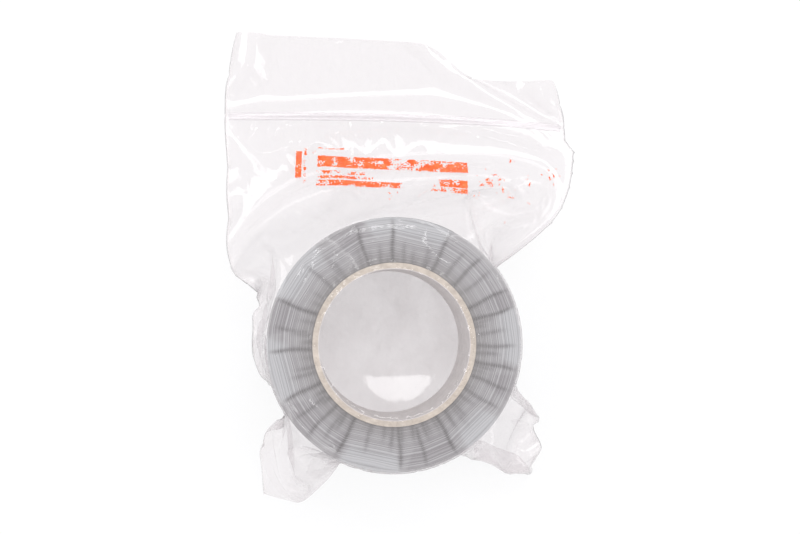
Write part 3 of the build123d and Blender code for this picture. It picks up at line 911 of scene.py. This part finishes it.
def print_piece(front_film, material):
    """The ink as a thin layer of cells over the front film, left out where it is worn off."""
    tree = BVHTree.FromPolygons(
        [v.co[:] for v in front_film.data.vertices], [f.vertices[:] for f in front_film.data.polygons]
    )
    low_x, low_y, high_x, high_y = PRINT_AREA
    index, points, faces, flecks = {}, [], [], all_flecks()
    for i in range(int((high_x - low_x) / PRINT_CELL)):
        for j in range(int((high_y - low_y) / PRINT_CELL)):
            if not ink_at(low_x + (i + 0.5) * PRINT_CELL, low_y + (j + 0.5) * PRINT_CELL, flecks):
                continue
            face = []
            for a, b in ((i, j), (i + 1, j), (i + 1, j + 1), (i, j + 1)):
                if (a, b) not in index:
                    above = Vector((low_x + a * PRINT_CELL, low_y + b * PRINT_CELL, 60)) * MM
                    hit, normal, _, _ = tree.ray_cast(above, Vector((0, 0, -1)))
                    if hit is None:
                        index[a, b] = -1
                        continue
                    index[a, b] = len(points)
                    points.append(np.array(hit + normal * INK_LIFT * MM * (1 if normal.z > 0 else -1)) / MM)
                face.append(index[a, b])
            if len(face) == 4 and min(face) >= 0:
                faces.append(face)
    used, order = np.unique(faces, return_inverse=True)
    piece = make_mesh("print_ink_layer", np.array(points)[used], order.reshape(-1, 4), [material])
    blend_header(piece)
    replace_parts(piece, "print_ink")


# ---- the roll ---------------------------------------------------------------------------------------
# Kinks across the wound layers: their angle round the roll in degrees, where each starts and ends
# out from the axis, and how strong it is.
KINKS = [
    (91, 41, 64, 1), (63, 42, 64, 0.8), (53, 43, 60, 0.6), (45, 41, 64, 0.9), (37, 44, 62, 0.6),
    (26, 41, 64, 1), (17, 41, 64, 1), (7, 43, 58, 0.6), (-1, 41, 62, 0.8), (-12, 41, 64, 0.9),
    (-22, 42, 64, 0.8), (-32, 41, 63, 0.7), (-60, 41, 64, 1), (-75, 43, 64, 0.8), (-87, 41, 64, 0.9),
    (-118, 41, 64, 1), (-127, 42, 60, 0.6), (-134, 41, 64, 0.8), (-143, 43, 64, 0.7),
    (-153, 41, 64, 1), (-177, 41, 64, 0.9), (172, 44, 62, 0.6), (159, 41, 64, 1), (128, 41, 56, 0.5),
    (108, 41, 64, 0.9), (99, 41, 52, 0.6), (78, 41, 50, 0.5), (70, 41, 54, 0.5), (12, 41, 49, 0.6),
    (-45, 41, 53, 0.6), (-52, 41, 48, 0.5), (-97, 41, 50, 0.6), (-106, 41, 57, 0.6), (-165, 41, 52, 0.6),
    (147, 41, 50, 0.5), (138, 41, 60, 0.6), (118, 41, 48, 0.5), (-68, 41, 51, 0.5), (-6, 41, 50, 0.5),
]
# Darker wedges that widen towards the rim, and paler stretches of the rim, from and to in degrees.
WEDGES = [(104, 122), (17, 27), (-27, -14), (-85, -56), (-123, -116), (-152, -131), (158, 176)]
PALE_RIM = [(62, 104), (-10, 18), (-55, -35), (-116, -87), (177, 208), (128, 158)]
KINK_HALF_ANGLE = 1.1  # degrees
TAPE_STEP = 0.22  # between the points across the wound layers
SHORT_KINKS = 52  # further small ones that start at the core


def angle_between(a, b):
    """Degrees from b round to a, from -180 to 180."""
    return (a - b + 180) % 360 - 180


def all_kinks():
    """The kinks listed above, and the short ones."""
    dice = np.random.default_rng(11)
    places = np.arange(SHORT_KINKS) * 360 / SHORT_KINKS + dice.uniform(-3, 3, SHORT_KINKS)
    ends, strengths = dice.uniform(45, 56, SHORT_KINKS), dice.uniform(0.35, 0.85, SHORT_KINKS)
    return KINKS + [(a, 40, end, strength) for a, end, strength in zip(places, ends, strengths)]


def roll_angles():
    """Angles round the roll in degrees, closer together at the kinks."""
    angles = [float(a) for a in np.arange(0, 360, 1.0)]
    for kink, _, _, _ in KINKS:
        angles += [(kink + off) % 360 for off in (-1.4, -0.9, -0.45, 0, 0.45, 0.9, 1.4)]
    angles.sort()
    kept = [angles[0]]
    for angle in angles[1:]:
        if angle - kept[-1] > 0.2:
            kept.append(angle)
    return np.array(kept)


def straight_between_kinks(angle):
    """The factor that makes the layers run straight from each kink to the next."""
    marks = sorted(kink % 360 for kink, _, end, _ in KINKS if end > 58)
    marks = np.array([marks[-1] - 360, *marks, marks[0] + 360])
    place = np.searchsorted(marks, angle)
    before, after = marks[place - 1], marks[np.minimum(place, len(marks) - 1)]
    middle, half = (before + after) / 2, (after - before) / 2
    return np.cos(np.radians(angle - middle)) / np.cos(np.radians(half))


def tape_winding(edge_material, face_material):
    """The wound tape as a ring, with the layers of its upper edge in relief."""
    angle = roll_angles()
    inner, outer = CORE_TOP[0] + 0.06, TAPE_TOP[0]
    low, high = TAPE_LOW[2], TAPE_TOP[2]
    across = np.append(np.arange(inner, outer - 0.25, TAPE_STEP), [outer - 0.2, outer - 0.06])
    up = np.linspace(high - 0.3, low + 0.3, 26)
    radius = np.concatenate([across, np.full(len(up), outer), across[::-6]])
    level = np.concatenate([np.full(len(across), high), up, np.full(len(across[::-6]), low)])
    side = (level < high) & (level > low)
    a = np.radians(angle)
    r = np.repeat(radius[:, None], len(angle), 1)
    z = np.repeat(level[:, None], len(angle), 1)
    straight = straight_between_kinks(angle)
    share = smooth_step((r - inner) / 5) * smooth_step((outer - r) / 5)
    layer = r * (1 + (straight[None] - 1) * share)
    spoke = np.zeros(r.shape)
    for kink, start, end, strength in all_kinks():
        lean = 0.35 * np.sin(r * 0.3 + kink)
        half = KINK_HALF_ANGLE * (1.6 - 0.9 * (r - inner) / (outer - inner))
        away = angle_between(angle[None] + lean, kink) / half
        reach = smooth_step((r - start + 1) / 2) * smooth_step((end + 2 - r) / 8)
        spoke = np.maximum(spoke, strength * reach * np.exp(-(away**2)))
    wedge, pale = np.zeros(r.shape), np.zeros(r.shape)
    for stretches, into, soft in ((WEDGES, wedge, 2.0), (PALE_RIM, pale, 3.5)):
        for start, end in stretches:
            middle, half = (start + end) / 2, (end - start) / 2
            inside = half - np.abs(angle_between(angle[None], middle))
            narrow = half * (1 - (r - inner) / (outer - inner)) * (0.75 if into is wedge else 0.35)
            np.maximum(into, smooth_step((inside - narrow) / soft + 0.5), out=into)
    wedge *= 0.35 + 0.65 * smooth_step((r - 46) / 12)
    pale *= smooth_step((r - 50) / 9)
    ridge = np.array([wander(layer_at * 2.3, 0.3) for layer_at in np.arange(0, 90, 0.1)])
    relief = np.interp(layer, np.arange(0, 90, 0.1), ridge)
    depth = 0.10 + 0.08 * relief + 0.22 * spoke + 0.08 * wedge
    rim_round = np.clip((r - outer + 0.25) / 0.25, 0, 1) * 0.12
    top = level == high
    z[top] -= (np.maximum(depth, 0) + rim_round)[top]
    ripple = 0.05 * (1 + np.sin(np.radians(angle * 3)))[None]
    r = np.where(side[:, None], r - ripple - 0.12 * spoke, r)
    points = np.stack([r * np.cos(a), r * np.sin(a), z], -1)
    around = np.stack([np.cos(a) + 0 * r, np.sin(a) + 0 * r, layer / 40], -1)
    faces = grid_faces(*r.shape, close_rows=True, close_columns=True)
    ring_of = faces.min(1) // r.shape[1]
    on_side = side[np.minimum(ring_of + 1, len(side) - 1)] & side[ring_of]
    attributes = {"layer": layer, "spoke": spoke, "wedge": wedge, "pale": pale}
    attributes = {key: value.ravel() for key, value in attributes.items()}
    attributes["around"] = around.reshape(-1, 3)
    materials = [edge_material, face_material]
    piece = make_mesh("tape_winding_edge", points.reshape(-1, 3), faces, materials, attributes,
                      material_of=on_side)
    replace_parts(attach(piece, "roll"), "tape_winding")


# ---- the stage --------------------------------------------------------------------------------------
FLOOR_GLOW = 1.02


def plain_panel(name, points, material):
    """A flat stage piece from its corners, in millimetres."""
    made = make_mesh(name, points, [list(range(len(points)))], [material])
    return made


def floor():
    """A pale table that glows, as a light table does, and still takes a faint shadow."""
    n = Nodes("floor_pale")
    grain = n.noise(n.position(), 3.0, 2.0)
    tone = n.mix(grain, (1, 1, 1), (0.99, 0.99, 0.995))
    glow = n.add("ShaderNodeEmission", {"Color": tone, "Strength": FLOOR_GLOW})
    plain = n.add("ShaderNodeBsdfDiffuse", {"Color": (0.84, 0.84, 0.85, 1)})
    both = n.add("ShaderNodeMixShader", {0: 0.2, 1: glow.outputs[0], 2: plain.outputs[0]})
    half, level = 2500, -0.05
    corners = [(-half, -half, level), (half, -half, level), (half, half, level), (-half, half, level)]
    plain_panel("floor", corners, n.finish(both.outputs[0]))


def light_panel(name, place, aim, size, glow):
    """A soft box that the camera doesn't see. glow is how bright its face is."""
    light = bpy.data.lights.new(name, "AREA")
    light.shape, light.energy = "RECTANGLE", glow * math.pi * size[0] * size[1]
    light.size, light.size_y = size
    lamp = bpy.data.objects.new(name, light)
    lamp.location = place
    lamp.rotation_mode = "QUATERNION"
    lamp.rotation_quaternion = (Vector(aim) - Vector(place)).to_track_quat("-Z", "Y")
    lamp.visible_camera = False
    bpy.context.scene.collection.objects.link(lamp)


def half_round_lamp():
    """The small half-round lamp over the camera that the film over the core mirrors."""
    n = Nodes("lamp_glow")
    material = n.finish(n.add("ShaderNodeEmission", {"Strength": 6.0}).outputs[0])
    turns = np.linspace(0, math.pi, 25)
    points = [(52 + 51 * math.cos(t), 17.4 + 37 * math.sin(t), 898) for t in turns]
    panel = plain_panel("half_round_lamp", points, material)
    panel.visible_camera = False
    panel.visible_diffuse = False
    panel.visible_shadow = False


def lights():
    light_panel("softbox_back", (0.15, 0.80, 1.0), (0, 0.03, 0), (1.1, 0.5), 2.5)
    light_panel("softbox_left", (-1.0, 0.15, 0.85), (0, 0.03, 0), (0.6, 1.0), 2.1)
    light_panel("softbox_right", (1.1, -0.1, 0.8), (0, 0.03, 0), (0.5, 0.9), 2.1)
    half_round_lamp()
    world = bpy.data.worlds.new("studio")
    bpy.context.scene.world = world
    world.use_nodes = True
    world.node_tree.nodes["Background"].inputs["Color"].default_value = (1, 1, 1, 1)
    world.node_tree.nodes["Background"].inputs["Strength"].default_value = 0.93


CAMERA_AT, CAMERA_AIM = (-0.0431, 0.0223, 0.689), (0.0063, 0.0404, 0.0)  # in metres


def camera():
    data = bpy.data.cameras.new("camera")
    data.lens, data.sensor_width = 57.2, 36
    data.clip_start = 0.02
    made = bpy.data.objects.new("camera", data)
    back = (Vector(CAMERA_AT) - Vector(CAMERA_AIM)).normalized()
    right = Vector((0, 1, 0)).cross(back).normalized()
    made.matrix_world = Matrix((right, back.cross(right), back)).transposed().to_4x4()
    made.location = CAMERA_AT
    bpy.context.scene.collection.objects.link(made)
    bpy.context.scene.camera = made


def build():
    film = BagFilm(simulate_bag())
    clear = clear_film("bag_film", (0.969, 0.957, 0.962), 0.1, 0.22, 0.042, 0.06)
    seal = clear_film("heat_seal", (0.965, 0.955, 0.96), 0.16, 0.3, 0.05, 0.15, knurled=True)
    zip_plastic = clear_film("zip_strip", (0.99, 0.985, 0.99), 0.04, 0.3, 0.03, 0.12, edge_gloss=0.3)
    front_film = film_pieces(film, clear, seal)
    zip_pieces(film, zip_plastic)
    print_piece(front_film, ink_material())
    face = tape_face_material()
    tape_winding(tape_edge_material(), face)
    board = paper_material("core_board", (0.50, 0.43, 0.36), (0.74, 0.67, 0.58), (420, 420, 90))
    liner = paper_material("core_liner_paper", (0.60, 0.565, 0.56), (0.74, 0.71, 0.70), (160, 160, 700))
    material_of = {"tape_end": face, "core_liner": liner}
    for name, node in frame["nodes"].items():
        if not node.hide_render:
            node.data.materials.clear()
            node.data.materials.append(material_of.get(name, board))
    floor()
    lights()
    camera()
    scene = bpy.context.scene
    scene.view_settings.view_transform = "Standard"
    scene.cycles.transparent_max_bounces = 32


build()
